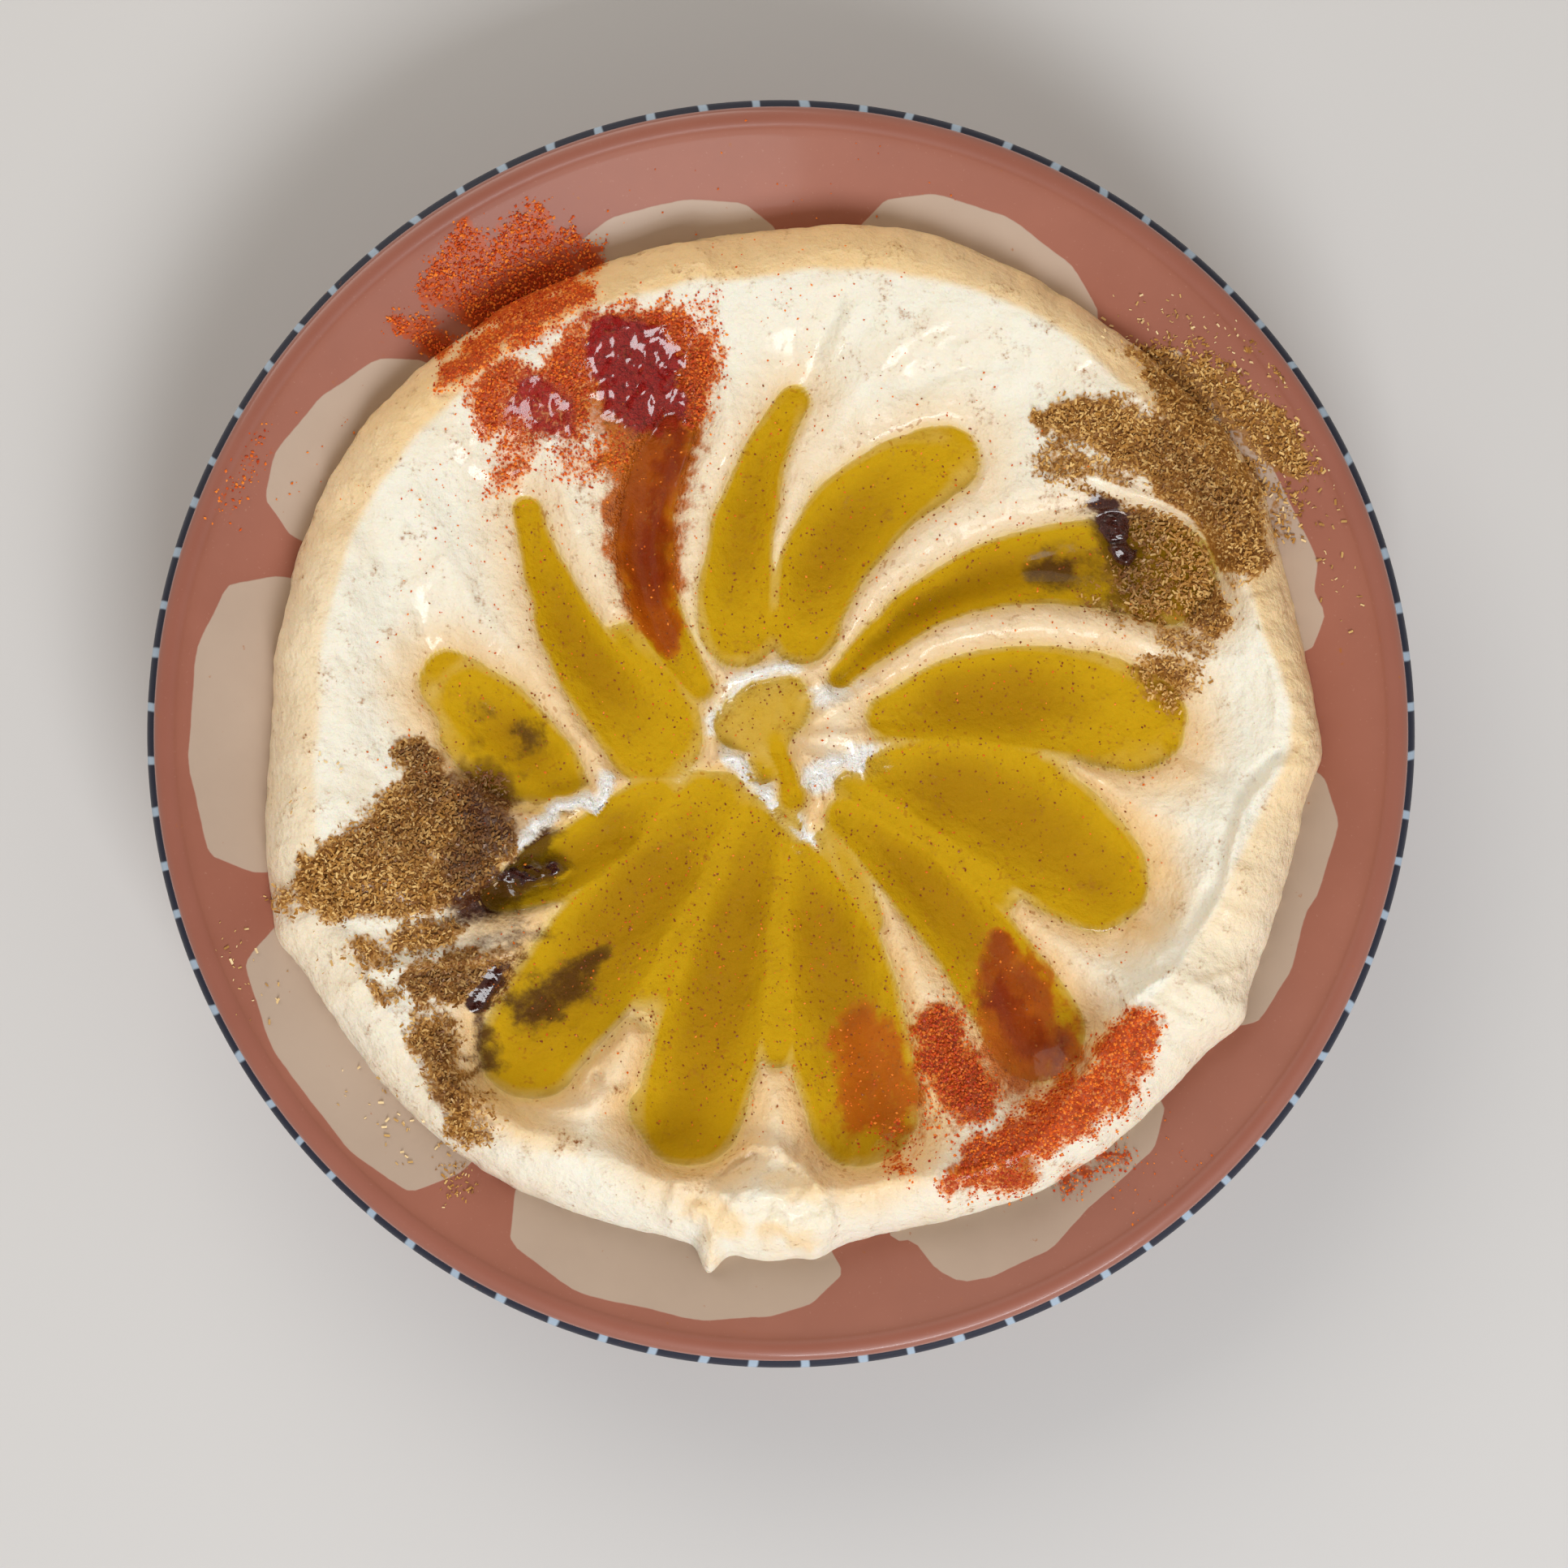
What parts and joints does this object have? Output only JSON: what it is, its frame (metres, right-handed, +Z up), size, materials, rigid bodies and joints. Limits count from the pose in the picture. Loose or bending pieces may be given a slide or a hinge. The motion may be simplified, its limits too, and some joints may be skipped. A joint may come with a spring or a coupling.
{
  "type": "bowl of hummus",
  "caption": "Shallow terracotta bowl of hummus, furrowed in a swirl with pools of olive oil and dusted with paprika and cumin.",
  "frame": {"origin": "middle of the underside of the bowl's foot ring", "axes": "+Z up, +Y towards the far side of the bowl as it is served, the overlapping wave of hummus lying to -X"},
  "size_m": [0.21, 0.21, 0.043],
  "materials": {
    "terracotta": "matt slip with painted petals and a satin glaze",
    "hummus": "soft, moist and slightly grainy",
    "olive_oil": "wet and clear golden",
    "paprika": "dry powder",
    "cumin": "dry ground seed"
  },
  "bodies": {
    "root": {"bowl": "terracotta", "hummus": "hummus", "oil_far": "olive_oil", "oil_far_left": "olive_oil", "oil_far_right": "olive_oil", "oil_left": "olive_oil", "oil_middle": "olive_oil", "oil_near": "olive_oil", "oil_right": "olive_oil"}
  },
  "joints": []
}
